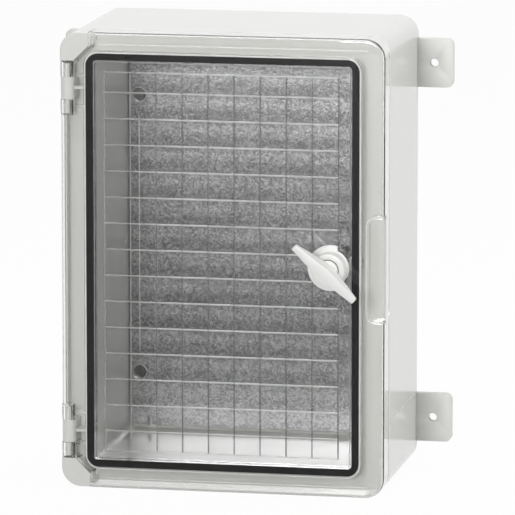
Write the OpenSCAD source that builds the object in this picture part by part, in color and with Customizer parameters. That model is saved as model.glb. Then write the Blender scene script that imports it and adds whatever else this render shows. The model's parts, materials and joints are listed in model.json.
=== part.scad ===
// Wall cabinet of moulded plastic with a clear hinged door, a wing knob latch and four wall lugs.
// Millimetres, +Z up. The wall is the plane Y = 0 and the door looks towards -Y.
// The origin lies midway between the four wall holes.

/* [Cabinet] */
// Outer width of the body
cab_w = 250; // [240:5:300]
// Outer height of the body
cab_h = 350; // [340:5:420]
// Wall plane to the door's face
cab_d = 150; // [130:5:200]
// Corner radius seen from the front
corner_r = 15; // [14:0.5:18]
// Wall thickness of the body
wall_t = 3; // [2.6:0.1:3.2]
// Door's face to the shoulder of the body behind it
shoulder_d = 23; // [21:0.5:25]
// Gap between the door's outer wall and that shoulder
door_gap = 0.8; // [0.6:0.1:1.2]
// Gap between the tub's back panel and the wall
back_gap = 3; // [2:0.5:5]
// Size of the two corner blocks at the hinge side
block_w = 22; // [20:0.5:24]
// Straight edge that a corner block keeps beside its chamfer
block_edge = 10.5; // [9:0.5:11]
// Front of the corner blocks behind the door's face
block_back = 2.3; // [2:0.1:3]
// Step where the side walls are set in between the lugs
side_step = 0.5; // [0.3:0.1:0.8]

/* [Door] */
// Thickness of the door's plate
door_t = 3; // [2.6:0.1:3.2]
// Thickness of the door's outer wall
skirt_t = 2.2; // [2:0.1:2.6]
// Rounding of the door's front edge
edge_r = 2.4; // [1.2:0.1:2.6]
// Pitch of the raised grid
grid_pitch = 20; // [17:0.5:20]
// Whole squares across the grid
grid_cols = 9; // [5:1:9]
// Whole squares up the grid
grid_rows = 13; // [7:1:13]
// Height of the part row above and below the whole squares
grid_edge = 15.4; // [10:0.2:16]
// Width of a grid line at its foot
line_w = 1.4; // [1:0.1:1.8]
// Height of a grid line
line_h = 0.5; // [0.3:0.1:0.7]

/* [Seal] */
// Side edge of the body to the middle of the gasket
seal_in_x = 22.6; // [22:0.2:26]
// Top and bottom edge of the body to the middle of the gasket
seal_in_z = 18.6; // [18:0.2:22]
// Width of the gasket
seal_w = 5; // [4:0.2:5.4]
// Thickness of the gasket
seal_h = 5; // [4.4:0.2:5.4]
// Corner radius of the gasket's middle line
seal_r = 6; // [5:0.5:8]
// Thickness of the body's lip that meets the gasket
lip_t = 2.4; // [2:0.1:2.6]
// Gap between gasket and lip at rest
seal_gap = 0.3; // [0.2:0.1:0.5]
// Thickness of the ribs that hold the gasket
rib_t = 1.6; // [1.2:0.1:1.8]

/* [Hinge] */
// Radius of the door's hinge barrel
barrel_r = 5.5; // [5.2:0.1:6]
// Height of one door knuckle
door_knuckle_h = 11.6; // [10:0.2:14]
// Height of a body knuckle
knuckle_h = 17; // [14:0.5:20]
// Radius of the hinge pins
pin_r = 3.2; // [2.6:0.1:3.4]
// Radial clearance of the door on its pins
pin_fit = 0.05; // [0.02:0.01:0.1]
// Gap between knuckles along the pin
knuckle_gap = 0.4; // [0.3:0.1:0.6]
// Depth of the groove along the hinge edge
groove_d = 0.8; // [0.5:0.1:1]

/* [Finger pull] */
// Height of the pull
pull_h = 78; // [60:1:90]
// Width of the pull
pull_w = 12; // [11:0.5:12.5]
// Depth of the pull
pull_d = 8; // [6:0.2:8.6]
// Corner radius of the pull
pull_r = 6; // [3:0.5:6]
// Width of the step round the pull
pull_step = 1.2; // [0.8:0.1:1.6]

/* [Latch] */
// Right edge of the body to the lock's axis
lock_in_x = 40.5; // [40:0.5:50]
// Height of the lock's axis above the middle
lock_z = 1.5; // [-5:0.5:5]
// Radius of the flange on the door
flange_r = 17.5; // [16.5:0.5:18]
// Radius that the flange is cut back to beside the gasket
flange_small_r = 14; // [13:0.5:14.5]
// Lock axis to the cut in the flange
flange_cut = 5.3; // [4:0.1:7]
// Radius of the fixed collar
collar_r = 12.5; // [12:0.5:13]
// Front of the collar before the door
collar_h = 14.5; // [12:0.5:16]
// Radius of the knob's round core
core_r = 7.7; // [7.2:0.1:8]
// Gap round the knob's core
core_gap = 0.6; // [0.4:0.1:0.8]
// Length of the wing
wing_l = 61; // [50:1:66]
// Width of the wing in its middle
wing_w = 9.2; // [8:0.2:10]
// Width of the wing at its ends
wing_tip_w = 4.8; // [4:0.2:6]
// Thickness of the wing at its ends
wing_t = 4.5; // [4:0.5:6]
// Front of the wing before the collar
wing_h = 17.5; // [15:0.5:20]
// Slope of the wing, down to the right
wing_slope = 41; // [40:1:50]
// Radius of the threaded shank
shank_r = 8; // [7.6:0.1:8.4]
// Radius of the spindle
spindle_r = 5; // [4.6:0.1:5.2]
// Radial clearance of the spindle in its bush
spindle_fit = 0.05; // [0.02:0.01:0.1]
// Lock axis to the end of the cam
cam_l = 16; // [15:0.1:16]
// Half the width of the cam
cam_hw = 4.5; // [4:0.1:4.6]

/* [Mounting plate] */
// Edge of the plate inside the tub's wall
plate_gap = 1.2; // [1:0.2:4]
// Thickness of the plate
plate_t = 1.5; // [1.2:0.1:2]
// Front of the plate before the tub's back panel
plate_stand = 9; // [8.5:0.5:14]
// Corner radius of the plate
plate_r = 7; // [4:0.5:9]
// Fixing holes inside the plate's side edges
plate_fix_x = 7.5; // [7:0.5:10]
// Fixing holes inside the plate's top and bottom edges
plate_fix_z = 42; // [36:1:60]
// Width of the notches in the plate's ends
notch_w = 3.4; // [3:0.2:5]
// Depth of the notches in the plate's ends
notch_d = 6.5; // [5:0.5:8]

/* [Wall lugs] */
// Wall holes beyond the body's side
hole_out = 13; // [12:0.5:14]
// Wall holes inside the top and bottom of the body
hole_in_z = 36; // [34:0.5:44]
// Radius of the wall holes
hole_r = 3.25; // [2.6:0.05:3.5]
// Lug's reach beyond the body's side
lug_out = 28; // [26:0.5:30]
// Height of a lug
lug_h = 38; // [34:0.5:40]
// Thickness of a lug
lug_t = 6; // [5.5:0.1:6.5]
// Corner radius of a lug
lug_r = 5; // [3:0.5:6]

/* [Hidden] */
$fn = 72;

grey = [0.83, 0.83, 0.81];
clear = [0.86, 0.89, 0.90, 0.35];
black = [0.06, 0.06, 0.06];
zinc = [0.62, 0.63, 0.65];
steel = [0.72, 0.72, 0.74];
knob_grey = [0.88, 0.88, 0.86];

// Half sizes of the body and levels along Y
w = cab_w / 2;
h = cab_h / 2;
y_face = -cab_d;
y_plate = y_face + door_t;
y_shoulder = y_face + shoulder_d;
y_skirt = y_shoulder - door_gap;
y_swing = y_face + 13;
y_lip = y_plate + seal_h + seal_gap;
y_rib = y_lip + 2.7;
y_tub = -back_gap;
y_panel = y_tub - wall_t;
rim_r = wall_t / 2;
y_block = y_face + block_back;

// Gasket's middle line and the tub below it
seal_x = w - seal_in_x;
seal_z = h - seal_in_z;
tub_x = seal_x - lip_t / 2;
tub_z = seal_z - lip_t / 2;
tub_r = seal_r - lip_t / 2;

// Hinge axis; swing_fit keeps the door clear of the body as it turns
hinge_x = -w + barrel_r;
hinge_y = y_face + barrel_r;
swing_fit = 0.35;
knuckle_r = barrel_r - 0.3;
barrel_z = h - block_w - 0.5;
knuckle_z = barrel_z - door_knuckle_h - knuckle_gap - knuckle_h / 2;
barrel_end = knuckle_z - knuckle_h / 2 - knuckle_gap - door_knuckle_h;
edge_y = hinge_y + 2;
left_wall_y = hinge_y + barrel_r + 0.6;
knuckle_rib_t = wall_t * 0.75;
knuckle_rib_x = -seal_x - seal_w / 2 - rib_t - 0.6;
knuckle_rib_y = hinge_y + 1.5;
rib_above = knuckle_h / 2 + knuckle_gap + rib_t / 2;
rib_below = rib_above + 4.2;
groove_x = hinge_x + 1.1;
groove_w = 0.9;

// Left limit of the door beside a corner block, at 45 degrees along the chamfer
function swing(b) = sqrt(b * b + pow(y_block - hinge_y, 2)) + swing_fit;
block_face_x = hinge_x + swing(block_w - barrel_r);
block_slope_x = hinge_x + swing(block_edge - barrel_r) - 0.5;

// Lock and its parts along Y
lock_x = w - lock_in_x;
seal_ring_t = 1;
flange_t = 2;
y_collar = y_face - collar_h;
y_core = y_collar + 6.5;
cam_t = 3;
y_cam = y_face + 26;
y_bush = y_cam - 0.4;
nut_t = 5;
nut_r = 12.4;
square_w = 6.6;
cam_screw_l = 11;
stem_r = 4;
y_stem = y_collar + 1.5;
ring_r = 0.59;
keeper_x = lock_x + 11.7;
keeper_hz = 4.5;
keeper_t = 4;
peg_r = 1.5;

// Mounting plate and its fixings
plate_x = tub_x - plate_gap;
plate_z = tub_z - plate_gap - 2.5;
y_sheet = y_panel - plate_stand;
cup_d = 5;
cup_r = 5.4;
y_cup = y_sheet + cup_d;
washer_t = 0.8;
screw_r = 1.9;
screw_fit = 0.05;
fix_x = plate_x - plate_fix_x;
fix_z = plate_z - plate_fix_z;
notch_x = plate_x - 15;

// Wall lugs and their screws
wall_hole_x = w + hole_out;
wall_hole_z = h - hole_in_z;
lug_in_x = tub_x + wall_t + 1.5;
lug_screw_x = (lug_in_x + w - wall_t) / 2;
lug_head_d = 3.4;
lug_fit = 0.2;
lug_screw_l = 16;

// Extrudes a shape drawn in X and Z from y0 back to y1
module slab(y0, y1) {
  translate([0, y1, 0])
    rotate([90, 0, 0])
      linear_extrude(y1 - y0) children();
}

// Rounded rectangle from its half sizes
module rounded(hw, hh, r) {
  square([2 * hw, 2 * (hh - r)], center = true);
  square([2 * (hw - r), 2 * hh], center = true);
  for (x = [-1, 1], z = [-1, 1])
    translate([x * (hw - r), z * (hh - r)]) circle(r);
}

// Ring of thickness t outside a rounded rectangle
module ring(hw, hh, r, t) {
  difference() {
    rounded(hw + t, hh + t, r + t);
    rounded(hw, hh, r);
  }
}

// Carries a profile round a rounded rectangle; x counts from the corner's centre, y towards the door
module sweep(hw, hh, r) {
  for (i = [0:3]) {
    a = i % 2 == 0 ? hw - r : hh - r;
    b = i % 2 == 0 ? hh - r : hw - r;
    rotate([0, -90 * i, 0]) {
      translate([a, 0, -b]) mirror([0, 1, 0]) linear_extrude(2 * b) children();
      translate([a, 0, b]) rotate([90, 0, 0]) rotate_extrude(angle = 90) children();
    }
  }
}

// Round bar along Y between two levels
module rod(x, z, y0, y1, r) {
  translate([x, y1, z]) rotate([90, 0, 0]) cylinder(h = y1 - y0, r = r);
}

// Repeats in the four corners
module corners(x, z) {
  for (i = [-1, 1], k = [-1, 1]) translate([i * x, 0, k * z]) children();
}

// Repeats above and below the middle
module above_and_below() {
  for (k = [0, 1]) mirror([0, 0, k]) children();
}

// Pan head screw along Y: head before its seat, shank behind it, cross recess in the head
module pan_screw(head_r, head_h, shank_r, shank_l) {
  difference() {
    union() {
      rod(0, 0, -head_h * 0.6, 0, head_r);
      rod(0, 0, -head_h, 0, head_r * 0.82);
      rod(0, 0, 0, shank_l, shank_r);
    }
    for (a = [0, 90])
      rotate([0, a, 0]) translate([-head_r * 0.55, -head_h - 1, -0.5]) cube([head_r * 1.1, 1 + head_h * 0.6, 1]);
  }
}

// Face of an upper corner block, grown by g towards the door
module block_shape(face_x, slope_x, low_z, g) {
  d = slope_x - low_z + g * sqrt(2);
  polygon([
    [-w - 1, h + 1], [face_x + g, h + 1], [face_x + g, face_x + g - d],
    [d + low_z - g, low_z - g], [-w - 1, low_z - g]
  ]);
}

// Corner block with a rounded outer edge
module corner_block() {
  intersection() {
    union() {
      slab(y_block, y_shoulder + wall_t) rounded(w - rim_r, h - rim_r, corner_r - rim_r);
      slab(y_block + rim_r, y_shoulder + wall_t) rounded(w, h, corner_r);
      sweep(w, h, corner_r) translate([corner_r - rim_r, -y_block - rim_r]) circle(rim_r);
    }
    slab(y_block - 1, y_shoulder + wall_t) block_shape(-w + block_w, -w + block_edge, h - block_w, 0);
  }
}

// Hollow in the back of a corner block
module block_core() {
  slab(y_block + wall_t, y_shoulder + wall_t + 1)
    intersection() {
      rounded(w - wall_t, h - wall_t, corner_r - wall_t);
      block_shape(-w + block_w, -w + block_edge, h - block_w, -wall_t);
    }
}

// Shoulder behind the door, rounded at its outer edge
module shoulder() {
  slab(y_shoulder, y_shoulder + wall_t)
    difference() {
      rounded(w - rim_r, h - rim_r, corner_r - rim_r);
      rounded(tub_x, tub_z, tub_r);
    }
  sweep(w, h, corner_r) translate([corner_r - rim_r, -y_shoulder - rim_r]) circle(rim_r);
}

// Higher wall behind the door's hinge edge
module hinge_wall() {
  translate([-w, left_wall_y, block_w - h - 1])
    cube([wall_t, y_shoulder + wall_t - left_wall_y, cab_h - 2 * block_w + 2]);
}

module body_knuckle() {
  translate([hinge_x, hinge_y, knuckle_z - knuckle_h / 2]) {
    cylinder(h = knuckle_h, r = knuckle_r);
    translate([-knuckle_r, 0, 0]) cube([2 * knuckle_r, y_shoulder + 1 - hinge_y, knuckle_h]);
  }
  // Rib that ties the knuckle to the tub, low where it passes under the seal channel
  for (end = [[-tub_x - lip_t, left_wall_y], [knuckle_rib_x, knuckle_rib_y]])
    translate([hinge_x, end[1], knuckle_z - knuckle_rib_t / 2])
      cube([end[0] - hinge_x, y_shoulder + 1 - end[1], knuckle_rib_t]);
}

// Ribs between tub and outer skirt, seen from behind
module channel_ribs() {
  rib = wall_t * 0.7;
  for (k = [-1, 1], s = [-0.33, 0, 0.33]) {
    translate([k > 0 ? tub_x + 1 : -w + 1, y_shoulder + 1, s * h - rib / 2])
      cube([w - tub_x - 2, -y_shoulder - 1 + y_tub, rib]);
    translate([s * w - rib / 2, y_shoulder + 1, k > 0 ? tub_z + 1 : -h + 1])
      cube([rib, -y_shoulder - 1 + y_tub, h - tub_z - 2]);
  }
}

// Bosses that the lugs are screwed to, each on a web across the channel
module lug_bosses() {
  boss_l = 30;
  web_l = 45;
  corners(lug_screw_x, wall_hole_z) rod(0, 0, -lug_t - boss_l, -lug_t, 5);
  corners((w + tub_x) / 2, wall_hole_z)
    translate([0, -lug_t - web_l / 2, 0]) cube([w - tub_x - 2, web_l, 2], center = true);
}

module body_shell() {
  color(grey) difference() {
    union() {
      slab(y_shoulder + rim_r, 0) ring(w - wall_t, h - wall_t, corner_r - wall_t, wall_t);
      shoulder();
      hinge_wall();
      slab(y_lip, y_shoulder + 1) ring(tub_x, tub_z, tub_r, lip_t);
      slab(y_shoulder + 1, y_tub) ring(tub_x, tub_z, tub_r, wall_t);
      slab(y_panel, y_tub) rounded(tub_x + 1, tub_z + 1, tub_r + 1);
      corners(fix_x, fix_z) rod(0, 0, y_cup, y_panel + 1, 6.5);
      channel_ribs();
      lug_bosses();
      above_and_below() {
        corner_block();
        body_knuckle();
      }
    }
    above_and_below() {
      block_core();
      translate([hinge_x, hinge_y, knuckle_z - knuckle_h]) cylinder(h = 2 * knuckle_h, r = pin_r);
      translate([groove_x, y_face - 1, knuckle_z - knuckle_h / 2 - 1])
        cube([groove_w, 1 + groove_d, knuckle_h + 2]);
    }
    // Side walls set in between the lugs
    for (k = [-1, 1])
      translate([k * (w + 1 - side_step) - 1, y_shoulder + rim_r, -wall_hole_z + lug_h / 2])
        cube([2, cab_d, 2 * wall_hole_z - lug_h]);
    // Ways for the lugs through the back edge
    corners(w, wall_hole_z) cube([4 * wall_t, 2 * (lug_t + lug_fit), lug_h + 2 * lug_fit], center = true);
    corners(lug_screw_x, wall_hole_z) rod(0, 0, -lug_head_d - lug_screw_l - 1, 0, screw_r + screw_fit);
    corners(fix_x, fix_z) rod(0, 0, y_cup - 1, y_tub - 1.6, screw_r + screw_fit);
    for (z = [-1, 1])
      translate([tub_x - 1, y_cam - 0.5 - keeper_t / 2, lock_z + z * keeper_hz / 2])
        rotate([0, 90, 0]) cylinder(h = wall_t + 2, r = peg_r + 0.03);
  }
}

module mounting_plate() {
  color(zinc) difference() {
    union() {
      slab(y_sheet, y_sheet + plate_t) rounded(plate_x, plate_z, plate_r);
      corners(fix_x, fix_z) rod(0, 0, y_sheet, y_cup, cup_r + 1.1);
    }
    corners(fix_x, fix_z) {
      rod(0, 0, y_sheet - 1, y_cup - plate_t, cup_r);
      rod(0, 0, y_sheet - 1, y_cup + 1, 2.3);
    }
    corners(notch_x, plate_z)
      translate([-notch_w / 2, y_sheet - 1, -notch_d]) cube([notch_w, plate_t + 2, 2 * notch_d]);
  }
}

module plate_washers() {
  color(steel)
    corners(fix_x, fix_z)
      difference() {
        rod(0, 0, y_cup - plate_t - washer_t, y_cup - plate_t, 4.9);
        rod(0, 0, y_sheet, y_cup, screw_r + 0.3);
      }
}

module plate_screws() {
  color(steel)
    corners(fix_x, fix_z)
      translate([0, y_cup - plate_t - washer_t, 0]) pan_screw(4.2, 2.6, screw_r, plate_t + washer_t + 4.5);
}

// One lug; sx and sz give its corner
module wall_lug(sx, sz) {
  color(grey) translate([0, 0, sz * wall_hole_z]) mirror([sx > 0 ? 0 : 1, 0, 0]) difference() {
    slab(-lug_t, 0) translate([(w + lug_out + lug_in_x) / 2, 0])
      rounded((w + lug_out - lug_in_x) / 2, lug_h / 2, lug_r);
    rod(wall_hole_x, 0, -lug_t - 1, 1, hole_r);
    rod(lug_screw_x, 0, -lug_t - 1, 1, screw_r + 0.2);
    rod(lug_screw_x, 0, -lug_head_d, 1, 4.4);
  }
}

module lug_upper_left() {
  wall_lug(-1, 1);
}

module lug_upper_right() {
  wall_lug(1, 1);
}

module lug_lower_left() {
  wall_lug(-1, -1);
}

module lug_lower_right() {
  wall_lug(1, -1);
}

module lug_screws() {
  color(steel)
    corners(lug_screw_x, wall_hole_z)
      translate([0, -lug_head_d, 0]) rotate([0, 0, 180]) pan_screw(4, 2.6, screw_r, lug_screw_l);
}

module hinge_pin(side) {
  pin_l = 2 * door_knuckle_h + knuckle_h + 2 * knuckle_gap - 3;
  color(grey)
    translate([hinge_x, hinge_y, side * knuckle_z - pin_l / 2]) cylinder(h = pin_l, r = pin_r);
}

module hinge_pin_upper() {
  hinge_pin(1);
}

module hinge_pin_lower() {
  hinge_pin(-1);
}

module latch_keeper() {
  color(grey) {
    translate([keeper_x, y_cam - 0.5 - keeper_t, lock_z - keeper_hz])
      cube([tub_x - keeper_x, keeper_t, 2 * keeper_hz]);
    for (z = [-1, 1])
      translate([tub_x - 1, y_cam - 0.5 - keeper_t / 2, lock_z + z * keeper_hz / 2])
        rotate([0, 90, 0]) cylinder(h = wall_t + 1, r = peg_r);
  }
}

// Door's face, set in by g all round but for the hinge edge
module door_outline(g) {
  difference() {
    intersection() {
      rounded(w - g, h - g, corner_r - g);
      translate([hinge_x, -h]) square([cab_w, cab_h]);
    }
    for (k = [0, 1])
      mirror([0, k]) block_shape(block_face_x, block_slope_x, barrel_z, g);
  }
}

// Outline of the finger pull, open to the right, grown by g
module pull_outline(g) {
  translate([w + pull_w, 0]) rounded(2 * pull_w + g, pull_h / 2 + g, pull_r + g);
}

// Trapezoid bar of the grid, along Z
module grid_line(l) {
  translate([0, 0, -l / 2]) linear_extrude(l)
    polygon([[-line_w / 2, 0.3], [line_w / 2, 0.3], [line_w / 4, -line_h], [-line_w / 4, -line_h]]);
}

module door_grid() {
  grid_w = grid_cols * grid_pitch;
  grid_h = grid_rows * grid_pitch + 2 * grid_edge;
  translate([0, y_face, 0]) {
    for (i = [0:grid_cols])
      translate([i * grid_pitch - grid_w / 2, 0, 0]) grid_line(grid_h);
    for (i = [0:grid_rows])
      translate([0, 0, (i - grid_rows / 2) * grid_pitch]) rotate([0, 90, 0]) grid_line(grid_w);
    for (k = [-1, 1])
      translate([0, 0, k * grid_h / 2]) rotate([0, 90, 0]) grid_line(grid_w + line_w);
  }
}

// Plain pad in the grid for the lock: the last column, across three rows
module grid_pad() {
  pad_w = grid_pitch - line_w;
  pad_h = 3 * grid_pitch - line_w;
  translate([(grid_cols - 1) * grid_pitch / 2 - pad_w / 2, y_face - 2 * line_h, -pad_h / 2])
    cube([pad_w, 2 * line_h, pad_h]);
}

// Ribs behind the door that tie its hinge barrel to the seal channel
module hinge_ribs() {
  above_and_below()
    for (z = [rib_above, -rib_below])
      translate([hinge_x + barrel_r - 1, y_plate - 1, knuckle_z + z - rib_t / 2])
        cube([-seal_x - seal_w / 2 - rib_t / 2 - hinge_x - barrel_r + 1, y_swing - y_plate + 1, rib_t]);
}

// Rounded left edge of the door, drawn in X and Y round the hinge axis
module edge_profile(t) {
  intersection() {
    difference() {
      circle(barrel_r);
      circle(barrel_r - t);
    }
    translate([-barrel_r, -barrel_r]) square(barrel_r + 0.01);
  }
  translate([-barrel_r, 0]) square([t, edge_y - hinge_y]);
}

// Cut that rounds the door's front edge, from one corner block round to the other
module edge_cut() {
  intersection() {
    sweep(w, h, corner_r)
      translate([corner_r - edge_r, -y_face - edge_r])
        difference() {
          square(edge_r + 1);
          circle(edge_r);
        }
    translate([-w + block_w, y_face - 2, -h - 2]) cube([cab_w, edge_r + 3, cab_h + 4]);
  }
}

module door_panel() {
  seal_low = seal_w / 2;
  pull_back_x = seal_x + seal_low + rib_t;
  color(clear) difference() {
    union() {
      slab(y_face, y_plate) door_outline(0);
      // Outer wall, down to the body's shoulder
      slab(y_plate - 1, y_skirt)
        difference() {
          door_outline(0);
          door_outline(skirt_t);
          translate([-w - 1, 8 - h]) square([w + 1, cab_h - 16]);
        }
      // Lower walls beside the corner blocks, which pass the tub as the door turns
      slab(y_plate - 1, y_swing)
        difference() {
          door_outline(0);
          door_outline(skirt_t);
          translate([hinge_x - 1, -barrel_z]) square([w, 2 * barrel_z]);
          translate([0, -h]) square([w + 1, cab_h]);
        }
      slab(y_plate - 1, y_rib) ring(seal_x + seal_low, seal_z + seal_low, seal_r + seal_low, rib_t);
      slab(y_plate - 1, y_rib)
        ring(seal_x - seal_low - rib_t, seal_z - seal_low - rib_t, seal_r - seal_low - rib_t, rib_t);
      translate([hinge_x, hinge_y, -barrel_z]) linear_extrude(2 * barrel_z) edge_profile(skirt_t + 0.3);
      above_and_below()
        translate([hinge_x, hinge_y, barrel_end]) cylinder(h = barrel_z - barrel_end, r = barrel_r);
      slab(y_plate - 1, y_face + pull_d + skirt_t)
        intersection() {
          pull_outline(skirt_t);
          door_outline(0);
        }
      hinge_ribs();
      door_grid();
    }
    grid_pad();
    edge_cut();
    slab(y_face - 2, y_face + pull_d) pull_outline(0);
    slab(y_face - 2, y_face + 0.8) pull_outline(pull_step);
    slab(y_face + pull_d + skirt_t, 0)
      intersection() {
        pull_outline(0);
        translate([pull_back_x, -h]) square([w - skirt_t - pull_back_x, cab_h]);
      }
    rod(lock_x, lock_z, y_face - 2, y_plate + 1, shank_r + 0.1);
    rod(lock_x, lock_z, y_face - 2, y_face, flange_r + 0.5);
    above_and_below() {
      translate([-w - 1, y_face - 1, knuckle_z - knuckle_h / 2 - knuckle_gap])
        cube([2 * barrel_r + 1.5, shoulder_d, knuckle_h + 2 * knuckle_gap]);
      translate([hinge_x, hinge_y, barrel_end + 1])
        cylinder(h = barrel_z - barrel_end - 2, r = pin_r + pin_fit);
    }
    translate([groove_x, y_face - 1, -h]) cube([groove_w, 1 + groove_d / 2, cab_h]);
  }
}

module door_gasket() {
  color(black)
    slab(y_plate, y_plate + seal_h)
      ring(seal_x - seal_w / 2, seal_z - seal_w / 2, seal_r - seal_w / 2, seal_w);
}

// Flange seen from the front, cut back beside the gasket
module flange_outline() {
  circle(flange_small_r);
  difference() {
    circle(flange_r);
    translate([flange_cut, -flange_r]) square([flange_r, 2 * flange_r]);
  }
}

module lock_bush() {
  color(knob_grey) difference() {
    union() {
      translate([lock_x, 0, lock_z])
        slab(y_face - seal_ring_t - flange_t, y_face - seal_ring_t) flange_outline();
      rod(lock_x, lock_z, y_collar, y_face - seal_ring_t, collar_r);
      rod(lock_x, lock_z, y_face - 2, y_bush, shank_r);
    }
    rod(lock_x, lock_z, y_collar - 1, y_core + 0.2, core_r + core_gap);
    rod(lock_x, lock_z, y_collar - 1, y_bush + 1, spindle_r + spindle_fit);
  }
}

module lock_seal() {
  color(black) difference() {
    rod(lock_x, lock_z, y_face - seal_ring_t, y_face, flange_small_r - 0.6);
    rod(lock_x, lock_z, y_face - 2, y_face + 1, shank_r + 0.1);
  }
}

module lock_nut() {
  color(knob_grey) difference() {
    translate([lock_x, y_plate + nut_t, lock_z]) rotate([90, 0, 0]) cylinder(h = nut_t, r = nut_r, $fn = 6);
    rod(lock_x, lock_z, y_plate - 1, y_plate + nut_t + 1, shank_r + 0.03);
  }
}

// Wing seen from the front, along X
module wing_front() {
  end_r = 1.2;
  end_x = wing_l / 2 - end_r;
  end_y = wing_tip_w / 2;
  polygon([
    [-end_x, -end_y], [0, -wing_w / 2], [end_x, -end_y], [end_x, end_y], [0, wing_w / 2], [-end_x, end_y]
  ]);
  for (x = [-end_x, end_x]) {
    translate([x, 0]) square([2 * end_r, wing_tip_w - 2 * end_r], center = true);
    for (y = [-1, 1]) translate([x, y * (end_y - end_r)]) circle(end_r);
  }
}

// Wing seen along its edge: x along the wing, y from the collar's face towards the front
module wing_side() {
  back = wing_h - wing_t;
  drop = 0.8;
  foot = core_r - 2.5;
  polygon([
    [-wing_l / 2, back], [-foot, 0.2], [foot, 0.2], [wing_l / 2, back],
    [wing_l / 2, wing_h - drop], [wing_l / 4, wing_h], [-wing_l / 4, wing_h], [-wing_l / 2, wing_h - drop]
  ]);
}

// Core that turns in the collar, flush with its front, and the wing that stands on it
module wing_knob() {
  color(knob_grey) translate([lock_x, 0, lock_z]) difference() {
    union() {
      rod(0, 0, y_collar - 0.4, y_core, core_r);
      rotate([0, wing_slope, 0])
        intersection() {
          slab(y_collar - wing_h - 1, y_collar) wing_front();
          translate([0, y_collar, -wing_w]) mirror([0, 1, 0]) linear_extrude(2 * wing_w) wing_side();
        }
    }
    rod(0, 0, y_stem, y_core + 1, stem_r + 0.02);
  }
}

module lock_spindle() {
  color(steel) difference() {
    union() {
      rod(lock_x, lock_z, y_stem, y_core + 1, stem_r);
      rod(lock_x, lock_z, y_core, y_cam, spindle_r);
      translate([lock_x, 0, lock_z]) rotate([0, wing_slope, 0])
        translate([-square_w / 2, y_cam - 1, -square_w / 2]) cube([square_w, cam_t + 0.8, square_w]);
    }
    difference() {
      rod(lock_x, lock_z, y_core + 8, y_core + 9.4, spindle_r + 1);
      rod(lock_x, lock_z, y_core + 7, y_core + 10, spindle_r + spindle_fit - 2 * ring_r - 0.02);
    }
    rod(lock_x, lock_z, y_cam - 10, y_cam + cam_t, 2);
  }
}

module spindle_o_ring() {
  color(black)
    translate([lock_x, y_core + 8.7, lock_z]) rotate([90, 0, 0])
      rotate_extrude() translate([spindle_r + spindle_fit - ring_r - 0.02, 0]) circle(ring_r);
}

// Cam at right angles to the wing
module latch_cam() {
  color(zinc) translate([lock_x, 0, lock_z]) rotate([0, wing_slope - 90, 0]) difference() {
    slab(y_cam, y_cam + cam_t) {
      circle(8);
      translate([0, -cam_hw]) square([cam_l - 1.5, 2 * cam_hw]);
      translate([0, -cam_hw + 1.5]) square([cam_l, 2 * cam_hw - 3]);
      for (k = [-1, 1]) translate([cam_l - 1.5, k * (cam_hw - 1.5)]) circle(1.5);
    }
    translate([-square_w / 2 - 0.03, y_cam - 1, -square_w / 2 - 0.03])
      cube([square_w + 0.06, cam_t + 2, square_w + 0.06]);
  }
}

module cam_washer() {
  color(steel) difference() {
    rod(lock_x, lock_z, y_cam + cam_t, y_cam + cam_t + 1, 6);
    rod(lock_x, lock_z, y_cam, y_cam + cam_t + 2, 2.2);
  }
}

module cam_screw() {
  color(steel)
    translate([lock_x, y_cam + cam_t + 1, lock_z]) rotate([0, 0, 180]) pan_screw(4, 2.6, 1.95, cam_screw_l);
}

body_shell();
mounting_plate();
plate_washers();
plate_screws();
lug_upper_left();
lug_upper_right();
lug_lower_left();
lug_lower_right();
lug_screws();
hinge_pin_upper();
hinge_pin_lower();
latch_keeper();
door_panel();
door_gasket();
lock_bush();
lock_seal();
lock_nut();
wing_knob();
lock_spindle();
spindle_o_ring();
latch_cam();
cam_washer();
cam_screw();
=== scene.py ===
"""Looks of a moulded wall cabinet with a clear door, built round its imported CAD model."""

import json
import math

import bpy
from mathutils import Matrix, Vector


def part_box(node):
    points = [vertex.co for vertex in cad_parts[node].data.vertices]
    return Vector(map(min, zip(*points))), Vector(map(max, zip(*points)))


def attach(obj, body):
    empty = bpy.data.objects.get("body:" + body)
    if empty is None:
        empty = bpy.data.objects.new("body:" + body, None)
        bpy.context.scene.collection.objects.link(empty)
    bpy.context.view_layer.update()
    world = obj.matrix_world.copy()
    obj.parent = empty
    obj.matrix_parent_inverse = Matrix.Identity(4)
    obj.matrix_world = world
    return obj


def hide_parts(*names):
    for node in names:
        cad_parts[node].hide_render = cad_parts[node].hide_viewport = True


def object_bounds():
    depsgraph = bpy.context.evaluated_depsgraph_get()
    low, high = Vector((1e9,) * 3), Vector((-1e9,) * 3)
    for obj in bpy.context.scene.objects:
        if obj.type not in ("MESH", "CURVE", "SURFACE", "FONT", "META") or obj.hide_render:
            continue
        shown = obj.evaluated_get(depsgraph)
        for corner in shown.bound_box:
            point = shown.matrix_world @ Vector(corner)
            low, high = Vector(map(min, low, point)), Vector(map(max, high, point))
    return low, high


MM = 0.001
PICTURE = 515  # pixels along each side of the photograph

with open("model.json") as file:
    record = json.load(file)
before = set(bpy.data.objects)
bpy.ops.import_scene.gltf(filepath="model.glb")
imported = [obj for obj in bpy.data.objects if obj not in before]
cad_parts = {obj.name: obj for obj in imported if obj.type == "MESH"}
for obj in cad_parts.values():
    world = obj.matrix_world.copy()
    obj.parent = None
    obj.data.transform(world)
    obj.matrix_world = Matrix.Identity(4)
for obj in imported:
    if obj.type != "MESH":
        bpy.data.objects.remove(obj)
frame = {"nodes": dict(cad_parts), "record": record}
cad_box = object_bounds()
scene = bpy.context.scene
scene.view_settings.view_transform = "Standard"


# Camera, solved from the edges, the gasket, the grid and the lug holes in the photograph

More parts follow.
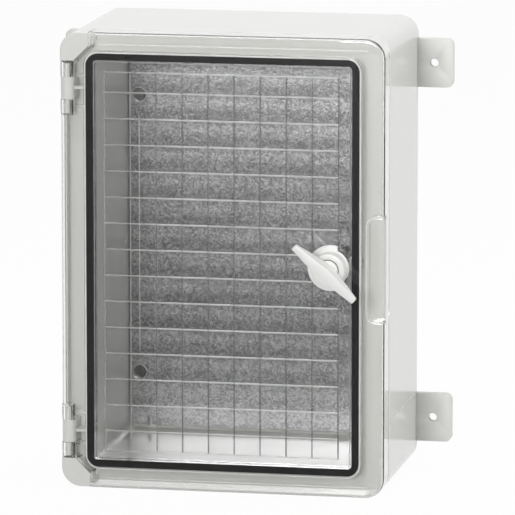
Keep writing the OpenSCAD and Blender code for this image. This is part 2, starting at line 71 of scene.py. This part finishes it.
FOCAL_PIXELS = 6000
EYE = Vector((899.2, -4524.9, 762.5)) * MM
YAW, PITCH = 11.263, 9.609  # degrees, to the left and downwards


def place_camera():
    lens = bpy.data.cameras.new("camera")
    lens.sensor_width = 36
    lens.lens = FOCAL_PIXELS / PICTURE * lens.sensor_width
    camera = bpy.data.objects.new("camera", lens)
    camera.location = EYE
    camera.rotation_euler = (math.radians(90 - PITCH), 0, math.radians(YAW))
    scene.collection.objects.link(camera)
    scene.camera = camera


place_camera()


# Shader building


class Value:
    """One output socket; sums, products and the like with it add Math nodes."""

    def __init__(self, finish, socket):
        self.finish, self.socket = finish, socket

    def math(self, operation, first, second):
        return self.finish.add("ShaderNodeMath", {"operation": operation}, {0: first, 1: second})

    def __add__(self, other):
        return self.math("ADD", self, other)

    __radd__ = __add__

    def __sub__(self, other):
        return self.math("SUBTRACT", self, other)

    def __rsub__(self, other):
        return self.math("SUBTRACT", other, self)

    def __mul__(self, other):
        return self.math("MULTIPLY", self, other)

    __rmul__ = __mul__

    def __pow__(self, other):
        return self.math("POWER", self, other)

    def __rpow__(self, other):
        return self.math("POWER", other, self)

    def size(self):
        return self.finish.add("ShaderNodeMath", {"operation": "ABSOLUTE"}, {0: self})

    def sine(self):
        return self.finish.add("ShaderNodeMath", {"operation": "SINE"}, {0: self})


class Finish:
    """A material and its nodes, patterned on Object coordinates in metres."""

    def __init__(self, name):
        self.material = bpy.data.materials.new(name)
        self.material.use_nodes = True
        self.tree = self.material.node_tree
        self.tree.nodes.clear()
        self.output = self.tree.nodes.new("ShaderNodeOutputMaterial")
        self.place = self.add("ShaderNodeTexCoord", {}, {}, "Object")

    def add(self, kind, settings, values, out=0):
        """Adds a node: its settings first, then its sockets' values or links. Gives the named output."""
        node = self.tree.nodes.new(kind)
        stops = settings.pop("stops", None)
        for name, value in settings.items():
            setattr(node, name, value)
        if stops:
            ramp = node.color_ramp.elements
            while len(ramp) < len(stops):
                ramp.new(1)
            for element, (position, colour) in zip(ramp, stops):
                element.position, element.color = position, (*colour, 1)
        for name, value in values.items():
            if isinstance(value, Value):
                self.tree.links.new(value.socket, node.inputs[name])
            else:
                node.inputs[name].default_value = value
        return Value(self, node.outputs[out])

    def noise(self, size_mm, detail=3, place=None):
        """Cloudy pattern from 0 to 1 with features about size_mm across."""
        scale = 1 / (size_mm * MM)
        values = {"Vector": place or self.place, "Scale": scale, "Detail": detail}
        return self.add("ShaderNodeTexNoise", {}, values, "Fac")

    def cells(self, size_mm, out="Color"):
        """Cells about size_mm across: a colour for each, or the distance from its middle."""
        values = {"Vector": self.place, "Scale": 1 / (size_mm * MM)}
        return self.add("ShaderNodeTexVoronoi", {}, values, out)

    def ramp(self, factor, stops):
        return self.add("ShaderNodeValToRGB", {"stops": stops}, {"Fac": factor}, "Color")

    def between(self, factor, first, second):
        """Colour between two colours."""
        return self.add("ShaderNodeMix", {"data_type": "RGBA"}, {0: factor, 6: first, 7: second}, 2)

    def stretched(self, x, y, z):
        return self.add("ShaderNodeMapping", {}, {"Vector": self.place, "Scale": (x, y, z)}, "Vector")

    def along(self, axis):
        """Place along X, Y or Z."""
        return self.add("ShaderNodeSeparateXYZ", {}, {"Vector": self.place}, axis)

    def rise(self, length, none_mm, full_mm):
        """0 at none_mm, 1 at full_mm and level beyond both."""
        values = {"Value": length, "From Min": none_mm * MM, "From Max": full_mm * MM}
        return self.add("ShaderNodeMapRange", {}, values)

    def bump(self, height, depth_mm):
        values = {"Height": height, "Distance": depth_mm * MM, "Strength": 1.0}
        return self.add("ShaderNodeBump", {}, values, "Normal")

    def principled(self, **values):
        named = {name.replace("_", " "): value for name, value in values.items()}
        return self.add("ShaderNodeBsdfPrincipled", {}, named, "BSDF")

    def close(self, surface):
        self.tree.links.new(surface.socket, self.output.inputs["Surface"])
        return self.material


def moulded_grey(name, tone, rough):
    """Light grey moulded plastic: fine spark texture, faint flow clouds."""
    f = Finish(name)
    clouds = f.noise(60, 2)
    grain = f.noise(0.5, 2)
    dark = tuple(c * 0.965 for c in tone)
    colour = f.between(clouds, (*dark, 1), (*tone, 1))
    return f.close(f.principled(
        Base_Color=colour, Roughness=rough + 0.07 * grain + 0.04 * clouds,
        IOR=1.53, Normal=f.bump(grain, 0.012)))


def clear_polycarbonate():
    """Polished clear plastic; lamps shine through it."""
    f = Finish("clear_polycarbonate")
    ripple = f.noise(45, 1)
    haze = f.noise(0.8, 3)
    glass = f.principled(
        Base_Color=(0.99, 0.99, 0.985, 1), Roughness=0.01 + 0.03 * haze ** 3, IOR=1.585,
        Transmission_Weight=1.0, Normal=f.bump(ripple, 0.02))
    open_way = f.add("ShaderNodeBsdfTransparent", {}, {"Color": (0.985, 0.985, 0.98, 1)})
    # Light from lamps, and light thrown back from behind the door, goes straight through and counts once
    surface = glass
    for ray in ("Is Diffuse Ray", "Is Shadow Ray"):
        kind = f.add("ShaderNodeLightPath", {}, {}, ray)
        surface = f.add("ShaderNodeMixShader", {}, {0: kind, 1: surface, 2: open_way})
    return f.close(surface)


def seal_foam():
    """Black foamed rubber with open pores."""
    f = Finish("seal_foam")
    pores = f.cells(0.9, "Distance")
    clouds = f.noise(9, 2)
    colour = f.between(clouds, (0.006, 0.006, 0.006, 1), (0.02, 0.0195, 0.0185, 1))
    return f.close(f.principled(
        Base_Color=colour, Roughness=0.72 + 0.2 * clouds, Specular_IOR_Level=0.2, Normal=f.bump(pores, 0.15)))


PAINTED_LIGHT_BAND_TURN, PAINTED_LIGHT_BAND_START = 304.8, 33.4  # radians for each metre down, so a painted band of light about every 20.6 mm, where light through the door's grid falls on the plate
PAINTED_FLOOR_REFLECTION_PART = (-70, -130)  # mm up the plate, from where to where it gets brighter, a painted reflection of the floor
HIGHLIGHT_LINE_X = -92.5  # mm, where a bright upright line paints a reflected edge highlight on the plate
HIGHLIGHT_LINE_SIDE, HIGHLIGHT_LINE_END = (0.75, 0.35), (96, 90)  # mm from the line's middle, where it starts and is full


def galvanised_sheet():
    """Zinc on sheet steel: crystals and streaks, with painted light on top: bands of light and shadow from
    the door's grid, a brighter low part that paints the floor's reflection, and a bright line that paints a
    reflected edge highlight.
    """
    f = Finish("galvanised_sheet")
    across, level = f.along("X"), f.along("Z")
    crystals = f.add("ShaderNodeSeparateColor", {}, {"Color": f.cells(1.3)}, "Red")
    grain = f.noise(1.1, 1)
    clouds = f.noise(38, 3)
    streaks = f.noise(3, 2, f.stretched(0.06, 1, 1))
    # Painted light: bands of light and shadow that the door's grid would throw on the plate, one for each row
    painted_light_bands = (PAINTED_LIGHT_BAND_START - PAINTED_LIGHT_BAND_TURN * level).sine()
    # Painted reflection: the plate is made brighter towards the bottom, where it would mirror the pale floor
    painted_floor_reflection = f.rise(level, *PAINTED_FLOOR_REFLECTION_PART)
    shade = 0.4 * crystals + 0.3 * grain + 0.2 * streaks + 0.1 * clouds + 0.08 * painted_light_bands + 0.15 * painted_floor_reflection
    colour = f.ramp(shade, [(0.2, (0.20, 0.20, 0.205)), (0.8, (0.58, 0.58, 0.592))])
    # Painted highlight: a dashed bright upright line near the plate's left edge, standing for a reflected
    # edge highlight
    line = f.rise((across - HIGHLIGHT_LINE_X * MM).size(), *HIGHLIGHT_LINE_SIDE) * f.rise(level.size(), *HIGHLIGHT_LINE_END)
    colour = f.between(line * (0.4 + 0.6 * grain), colour, (0.86, 0.86, 0.87, 1))
    return f.close(f.principled(
        Base_Color=colour, Metallic=1.0, Roughness=0.13 + 0.10 * shade,
        Normal=f.bump(grain + 0.3 * crystals, 0.03)))


def plated_steel(name, dark, light):
    """Zinc plated steel with a fine turned grain."""
    f = Finish(name)
    grain = f.noise(0.35, 2)
    clouds = f.noise(3, 2)
    colour = f.between(clouds, (dark, dark, dark, 1), (light, light, light, 1))
    return f.close(f.principled(
        Base_Color=colour, Metallic=1.0, Roughness=0.13 + 0.12 * clouds, Normal=f.bump(grain, 0.02)))


def knob_plastic():
    """Off-white semi-gloss plastic of the latch."""
    f = Finish("knob_plastic")
    clouds = f.noise(12, 2)
    grain = f.noise(0.7, 2)
    colour = f.between(clouds, (0.74, 0.74, 0.72, 1), (0.80, 0.80, 0.785, 1))
    return f.close(f.principled(
        Base_Color=colour, Roughness=0.3 + 0.12 * clouds, IOR=1.5, Normal=f.bump(grain, 0.012)))


LEFT_PAINTED_PART = (-75, -35)  # mm across the door, from where to where the painted tone of the lines' left ends gives way


def frosted(name, tone, cover, left_painted_tone=None):
    """Moulded lines of the door, matt where the rest is polished; cover is how much they hide. Their tone
    paints the highlight or shade they would show, and a second tone, where given, is painted on their left
    ends for how they look over the dark left wall.
    """
    f = Finish(name)
    patches = f.noise(14, 3)
    grain = f.noise(0.6, 2)
    colour = f.between(patches, (*(c * 0.9 for c in tone), 1), (*tone, 1))
    # Painted reflection: the lines' left ends get another tone, for how they look over the dark left wall
    if left_painted_tone:
        colour = f.between(f.rise(f.along("X"), *LEFT_PAINTED_PART), (*left_painted_tone, 1), colour)
    return f.close(f.principled(
        Base_Color=colour, Roughness=0.35 + 0.3 * grain, IOR=1.585,
        Alpha=cover * (0.5 + patches), Normal=f.bump(grain, 0.02)))


FINISHES = {
    "body_plastic": moulded_grey("body_plastic", (0.70, 0.70, 0.68), 0.09),
    "lug_plastic": moulded_grey("lug_plastic", (0.66, 0.66, 0.635), 0.36),
    "clear_plastic": clear_polycarbonate(),
    "seal_foam": seal_foam(),
    "galvanised_sheet": galvanised_sheet(),
    # The screws' steel is far darker than plated steel: painted shade of the cups they sit in
    "screw_steel": plated_steel("plated_steel", 0.10, 0.20),
    "knob_plastic": knob_plastic(),
}
SLOT_OF = {s["node"]: s["material_slot"] for s in frame["record"]["subparts"]}
BODY_OF = {n: b for b, nodes in frame["record"]["behaviour"]["bodies"].items() for n in nodes}


def coat(piece, material):
    piece.data.materials.clear()
    piece.data.materials.append(material)


def middle_of(node):
    low, high = (Vector(corner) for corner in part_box(node))
    return (low + high) / 2


for node, obj in frame["nodes"].items():
    for i in range(len(obj.material_slots)):
        obj.material_slots[i].material = FINISHES[SLOT_OF[node]]


# Pieces with rounded edges

MERGE = 0.002 * MM
FLAT_ANGLE, HARD_ANGLE, SMOOTH_ANGLE = (math.radians(degrees) for degrees in (0.5, 35, 32))


def softened(node, width_mm, segments):
    """A copy of a CAD node with its hard edges rounded off, which stands for the node."""
    source = frame["nodes"][node]
    bpy.ops.object.select_all(action="DESELECT")
    piece = bpy.data.objects.new(node + "_soft", source.data.copy())
    scene.collection.objects.link(piece)
    piece.select_set(True)
    bpy.context.view_layer.objects.active = piece
    bpy.ops.object.mode_set(mode="EDIT")
    bpy.ops.mesh.select_all(action="SELECT")
    bpy.ops.mesh.remove_doubles(threshold=MERGE)
    bpy.ops.mesh.dissolve_limited(angle_limit=FLAT_ANGLE)
    bpy.ops.object.mode_set(mode="OBJECT")
    bevel = piece.modifiers.new("edges", "BEVEL")
    bevel.width = width_mm * MM
    bevel.segments = segments
    bevel.limit_method = "ANGLE"
    bevel.angle_limit = HARD_ANGLE
    bevel.use_clamp_overlap = True
    bpy.ops.object.modifier_apply(modifier=bevel.name)
    bpy.ops.object.shade_smooth_by_angle(angle=SMOOTH_ANGLE)
    coat(piece, FINISHES[SLOT_OF[node]])
    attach(piece, BODY_OF[node])
    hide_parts(node)


for lug in ("lug_upper_left", "lug_upper_right", "lug_lower_left", "lug_lower_right"):
    softened(lug, 0.9, 3)
softened("wing_knob", 0.7, 3)
softened("lock_bush", 0.25, 2)


# Moulded lines on the door, matt, with painted highlight on the rows and painted shade on the columns

GRID_PITCH = 20 * MM
GRID_COLUMNS, GRID_ROWS = 9, 13
GRID_EDGE = 15.4 * MM  # part row above and below the whole squares
LINE_RISE, LINE_ROUND = 0.62 * MM, 0.3 * MM
FLANGE_ROOM = 18.2 * MM
DOOR_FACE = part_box("lock_seal")[1][1]


def door_lines(name, spans, along, width_mm, material):
    """Low rounded bars on the door's face; each span is a place across, a start and an end."""
    bpy.ops.object.select_all(action="DESELECT")
    bars = []
    for across, start, end in spans:
        bpy.ops.mesh.primitive_cube_add(size=1)
        bar = bpy.context.object
        middle, length = (start + end) / 2, end - start
        flat = (middle, across) if along == "X" else (across, middle)
        size = (length, width_mm * MM) if along == "X" else (width_mm * MM, length)
        bar.scale = (size[0], LINE_RISE, size[1])
        bar.location = (flat[0], DOOR_FACE - LINE_RISE / 2, flat[1])
        bars.append(bar)
    for bar in bars:
        bar.select_set(True)
    bpy.ops.object.join()
    piece = bpy.context.object
    piece.name = name
    bpy.ops.object.transform_apply(location=True, rotation=True, scale=True)
    front = DOOR_FACE - LINE_RISE
    bpy.ops.object.mode_set(mode="EDIT")
    bpy.ops.mesh.select_mode(type="EDGE")
    bpy.ops.mesh.select_all(action="DESELECT")
    bpy.ops.object.mode_set(mode="OBJECT")
    points = piece.data.vertices
    for edge in piece.data.edges:
        edge.select = all(abs(points[v].co.y - front) < 0.01 * MM for v in edge.vertices)
    bpy.ops.object.mode_set(mode="EDIT")
    bpy.ops.mesh.bevel(offset=LINE_ROUND, segments=2)
    bpy.ops.object.mode_set(mode="OBJECT")
    bpy.ops.object.shade_smooth_by_angle(angle=math.radians(50))
    coat(piece, material)
    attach(piece, "door")


def clear_of_flange(place, start, end):
    """Splits a line's span where it would run under the flange of the lock."""
    lock = middle_of("lock_seal")
    reach = FLANGE_ROOM ** 2 - (place - lock.x) ** 2
    if reach <= 0:
        return [(place, start, end)]
    room = math.sqrt(reach)
    return [(place, start, lock.z - room), (place, lock.z + room, end)]


half_width = GRID_COLUMNS * GRID_PITCH / 2
half_height = GRID_ROWS * GRID_PITCH / 2 + GRID_EDGE
levels = [(i - GRID_ROWS / 2) * GRID_PITCH for i in range(GRID_ROWS + 1)] + [-half_height, half_height]
# The rows' white paints the highlight that the top light puts on them; the columns' dark grey paints the
# shade they show by refraction
door_lines("grid_rows", [
    (level, -half_width, half_width - (GRID_PITCH if abs(level) < GRID_PITCH else 0)) for level in levels
], "X", 0.9, frosted("rows_painted_highlight", (0.93, 0.93, 0.92), 0.42, (0.5, 0.5, 0.49)))
door_lines("grid_columns", [
    span for i in range(GRID_COLUMNS + 1)
    for span in clear_of_flange(i * GRID_PITCH - half_width, -half_height, half_height)
], "Z", 1.1, frosted("columns_painted_shade", (0.12, 0.12, 0.12), 0.35, (0.42, 0.42, 0.41)))


# Painted highlight lines on the door, and thin rings that paint a shadow and highlights

RING_RISE = 0.3 * MM
CORE_GAP_R, CORE_GAP_W, CORE_GAP_DEPTH = 8, 0.5, 0.5  # mm
WASHER_R, CUP_R, RIM_THICK = 4.9, 5.4, 0.6  # mm
# Where the white lines that paint highlights and reflections run on the door
SEAL_LINE = (-105.6, -160.2), (107.2, 160.2)  # mm, lower left and upper right on the door's face
PULL_LINE = (110.9, -41.1), (124, 41.1)
BAND_LEVELS, BAND_ENDS = (166.3, -166.9), (-92, 112)


def door_ring(name, low, high, radius_mm, width_mm, material, open_right=False):
    """A thin raised line round a rectangle with rounded corners, in mm across and up the door's face."""
    bpy.ops.object.select_all(action="DESELECT")
    bpy.ops.mesh.primitive_plane_add(size=1, rotation=(math.pi / 2, 0, 0))
    piece = bpy.context.object
    piece.name = name
    piece.scale = ((high[0] - low[0]) * MM, (high[1] - low[1]) * MM, 1)
    piece.location = ((low[0] + high[0]) / 2 * MM, DOOR_FACE, (low[1] + high[1]) / 2 * MM)
    bpy.ops.object.transform_apply(location=True, rotation=True, scale=True)
    bpy.ops.object.mode_set(mode="EDIT")
    bpy.ops.mesh.select_mode(type="VERT")
    bpy.ops.mesh.select_all(action="DESELECT")
    bpy.ops.object.mode_set(mode="OBJECT")
    for point in piece.data.vertices:
        point.select = not open_right or point.co.x < low[0] * MM + 1 * MM
    bpy.ops.object.mode_set(mode="EDIT")
    bpy.ops.mesh.bevel(affect="VERTICES", offset=radius_mm * MM, segments=8)
    bpy.ops.mesh.select_mode(type="FACE")
    bpy.ops.mesh.select_all(action="SELECT")
    bpy.ops.mesh.inset(thickness=width_mm * MM)
    bpy.ops.mesh.delete(type="FACE")
    bpy.ops.object.mode_set(mode="OBJECT")
    for face in piece.data.polygons:
        face.select = open_right and face.center.x > high[0] * MM - width_mm * MM
    if open_right:
        bpy.ops.object.mode_set(mode="EDIT")
        bpy.ops.mesh.delete(type="FACE")
        bpy.ops.object.mode_set(mode="OBJECT")
    solid = piece.modifiers.new("rise", "SOLIDIFY")
    solid.thickness, solid.offset = RING_RISE, 1
    bpy.ops.object.modifier_apply(modifier=solid.name)
    coat(piece, material)
    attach(piece, "door")


def rings(name, places, radius_mm, thick_mm, material, body):
    """Thin round rings that face the front, one at each place."""
    bpy.ops.object.select_all(action="DESELECT")
    made = []
    for place in places:
        bpy.ops.mesh.primitive_torus_add(
            major_radius=radius_mm * MM, minor_radius=thick_mm / 2 * MM, major_segments=96, minor_segments=10,
            location=place, rotation=(math.pi / 2, 0, 0))
        made.append(bpy.context.object)
    for ring in made:
        ring.select_set(True)
    if len(made) > 1:
        bpy.ops.object.join()
    piece = bpy.context.object
    piece.name = name
    bpy.ops.object.transform_apply(location=True, rotation=True, scale=True)
    bpy.ops.object.shade_smooth()
    coat(piece, material)
    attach(piece, body)


def core_gap_shadow():
    """Black ring low in the gap between the knob's core and the bush, a painted shadow in the gap."""
    middle = middle_of("lock_seal")
    middle.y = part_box("lock_bush")[0][1] + CORE_GAP_DEPTH * MM
    rings("core_gap_shadow", [middle], CORE_GAP_R, CORE_GAP_W, FINISHES["seal_foam"], "door")


def cup_rims():
    """Bright rims of the four cups that the plate is screwed down through, painted highlights on the cups'
    edges.
    """
    low, high = (Vector(corner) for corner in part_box("plate_washers"))
    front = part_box("mounting_plate")[0][1] - RIM_THICK / 2 * MM
    places = [(x, front, z) for x in (low.x + WASHER_R * MM, high.x - WASHER_R * MM)
              for z in (low.z + WASHER_R * MM, high.z - WASHER_R * MM)]
    rings("cup_rims", places, CUP_R + RIM_THICK / 2, RIM_THICK, plated_steel("cup_rim_highlights", 0.60, 0.86),
          "cabinet")


core_gap_shadow()
cup_rims()
# White raised lines that paint highlights: round the seal's channel and the finger pull, and reflections
# across the door's top and bottom bands
painted_edge_highlights = frosted("painted_edge_highlights", (0.95, 0.95, 0.94), 0.45)
door_ring("seal_line", *SEAL_LINE, 11, 0.9, painted_edge_highlights)
door_ring("pull_line", *PULL_LINE, 8.1, 0.8, painted_edge_highlights, open_right=True)
door_lines("band_lines", [
    (level * MM, *(end * MM for end in BAND_ENDS)) for level in BAND_LEVELS
], "X", 0.9, painted_edge_highlights)


# Studio

TOP, SIDE, KEY, FRONT, AMBIENT = 21, 15, 9, 42, 0.1  # watts of the lamps, and the world's strength
FLOOR_TONE, FLOOR_WHITE = 0.8, 0.97  # the floor's own tone, and the share of white that it shows
CARD_TONE, CARD_ROUGH = 0.12, 0.9


def lamp(name, place, aim, size, power):
    light = bpy.data.lights.new(name, "AREA")
    light.shape = "RECTANGLE"
    light.size, light.size_y = size
    light.energy = power
    obj = bpy.data.objects.new(name, light)
    obj.location = place
    obj.rotation_euler = (Vector(aim) - Vector(place)).to_track_quat("-Z", "Y").to_euler()
    obj.visible_transmission = False
    scene.collection.objects.link(obj)


def stage_sheet(name, low, high, level, material):
    """A flat sheet of the set between two corners seen from above."""
    bpy.ops.object.select_all(action="DESELECT")
    middle = ((low[0] + high[0]) / 2, (low[1] + high[1]) / 2, level)
    bpy.ops.mesh.primitive_plane_add(size=1, location=middle)
    sheet = bpy.context.object
    sheet.name = name
    sheet.scale = (high[0] - low[0], high[1] - low[1], 1)
    bpy.ops.object.transform_apply(location=True, rotation=False, scale=True)
    sheet.data.materials.append(material)
    return sheet


def seen_directly(nodes, links):
    """1 for a ray that shows the set to the camera, also through clear plastic or in a reflection."""
    path = nodes.new("ShaderNodeLightPath")
    factor = path.outputs["Is Camera Ray"]
    for ray in ("Is Glossy Ray", "Is Transmission Ray"):
        either = nodes.new("ShaderNodeMath")
        either.operation = "MAXIMUM"
        links.new(factor, either.inputs[0])
        links.new(path.outputs[ray], either.inputs[1])
        factor = either.outputs[0]
    lit = nodes.new("ShaderNodeMath")
    lit.operation = "LESS_THAN"
    links.new(path.outputs["Diffuse Depth"], lit.inputs[0])
    lit.inputs[1].default_value = 0.5
    both = nodes.new("ShaderNodeMath")
    both.operation = "MULTIPLY"
    links.new(factor, both.inputs[0])
    links.new(lit.outputs[0], both.inputs[1])
    return both.outputs[0]


def floor_finish():
    """Pale floor that shows almost white and keeps a little of the shadow."""
    material = bpy.data.materials.new("floor")
    material.use_nodes = True
    nodes, links = material.node_tree.nodes, material.node_tree.links
    nodes.clear()
    paper, white = nodes.new("ShaderNodeBsdfDiffuse"), nodes.new("ShaderNodeEmission")
    paper.inputs["Color"].default_value = (FLOOR_TONE, FLOOR_TONE, FLOOR_TONE, 1)
    share = nodes.new("ShaderNodeMath")
    share.operation = "MULTIPLY"
    links.new(seen_directly(nodes, links), share.inputs[0])
    share.inputs[1].default_value = FLOOR_WHITE
    mixed = nodes.new("ShaderNodeMixShader")
    links.new(share.outputs[0], mixed.inputs[0])
    links.new(paper.outputs[0], mixed.inputs[1])
    links.new(white.outputs[0], mixed.inputs[2])
    links.new(mixed.outputs[0], nodes.new("ShaderNodeOutputMaterial").inputs["Surface"])
    return material


def card_finish():
    """Dark card before the object, which only reflections show."""
    material = bpy.data.materials.new("card")
    material.use_nodes = True
    sockets = material.node_tree.nodes["Principled BSDF"].inputs
    sockets["Base Color"].default_value = (CARD_TONE, CARD_TONE, CARD_TONE, 1)
    sockets["Roughness"].default_value = CARD_ROUGH
    return material


def studio():
    low, high = (Vector(corner) for corner in cad_box)
    middle = (low + high) / 2
    lamp("top", middle + Vector((0, 0.5, 1.6)), middle + Vector((0, 0.5, 0)), (1.6, 1.8), TOP)
    lamp("side", middle + Vector((1.8, -0.1, 0.5)), middle, (1.0, 1.4), SIDE)
    lamp("key", middle + Vector((-0.3, -1.3, 1.9)), middle, (0.8, 0.8), KEY)
    lamp("front", middle + Vector((-0.15, -3.0, 0.55)), middle, (0.6, 0.6), FRONT)
    stage_sheet("floor", (-6, -6), (6, 6), low.z - 0.001, floor_finish())
    card = stage_sheet("card", (-5, -3.1), (5, -0.16), low.z - 0.0005, card_finish())
    card.visible_camera = False
    card.visible_diffuse = False
    card.visible_shadow = False
    world = bpy.data.worlds.new("world")
    scene.world = world
    world.use_nodes = True
    nodes, links = world.node_tree.nodes, world.node_tree.links
    nodes.clear()
    soft, white = nodes.new("ShaderNodeBackground"), nodes.new("ShaderNodeBackground")
    soft.inputs["Strength"].default_value = AMBIENT
    white.inputs["Color"].default_value = (1, 1, 1, 1)
    soft.inputs["Color"].default_value = (1, 1, 1, 1)
    mixed = nodes.new("ShaderNodeMixShader")
    links.new(seen_directly(nodes, links), mixed.inputs[0])
    links.new(soft.outputs[0], mixed.inputs[1])
    links.new(white.outputs[0], mixed.inputs[2])
    links.new(mixed.outputs[0], nodes.new("ShaderNodeOutputWorld").inputs["Surface"])


studio()
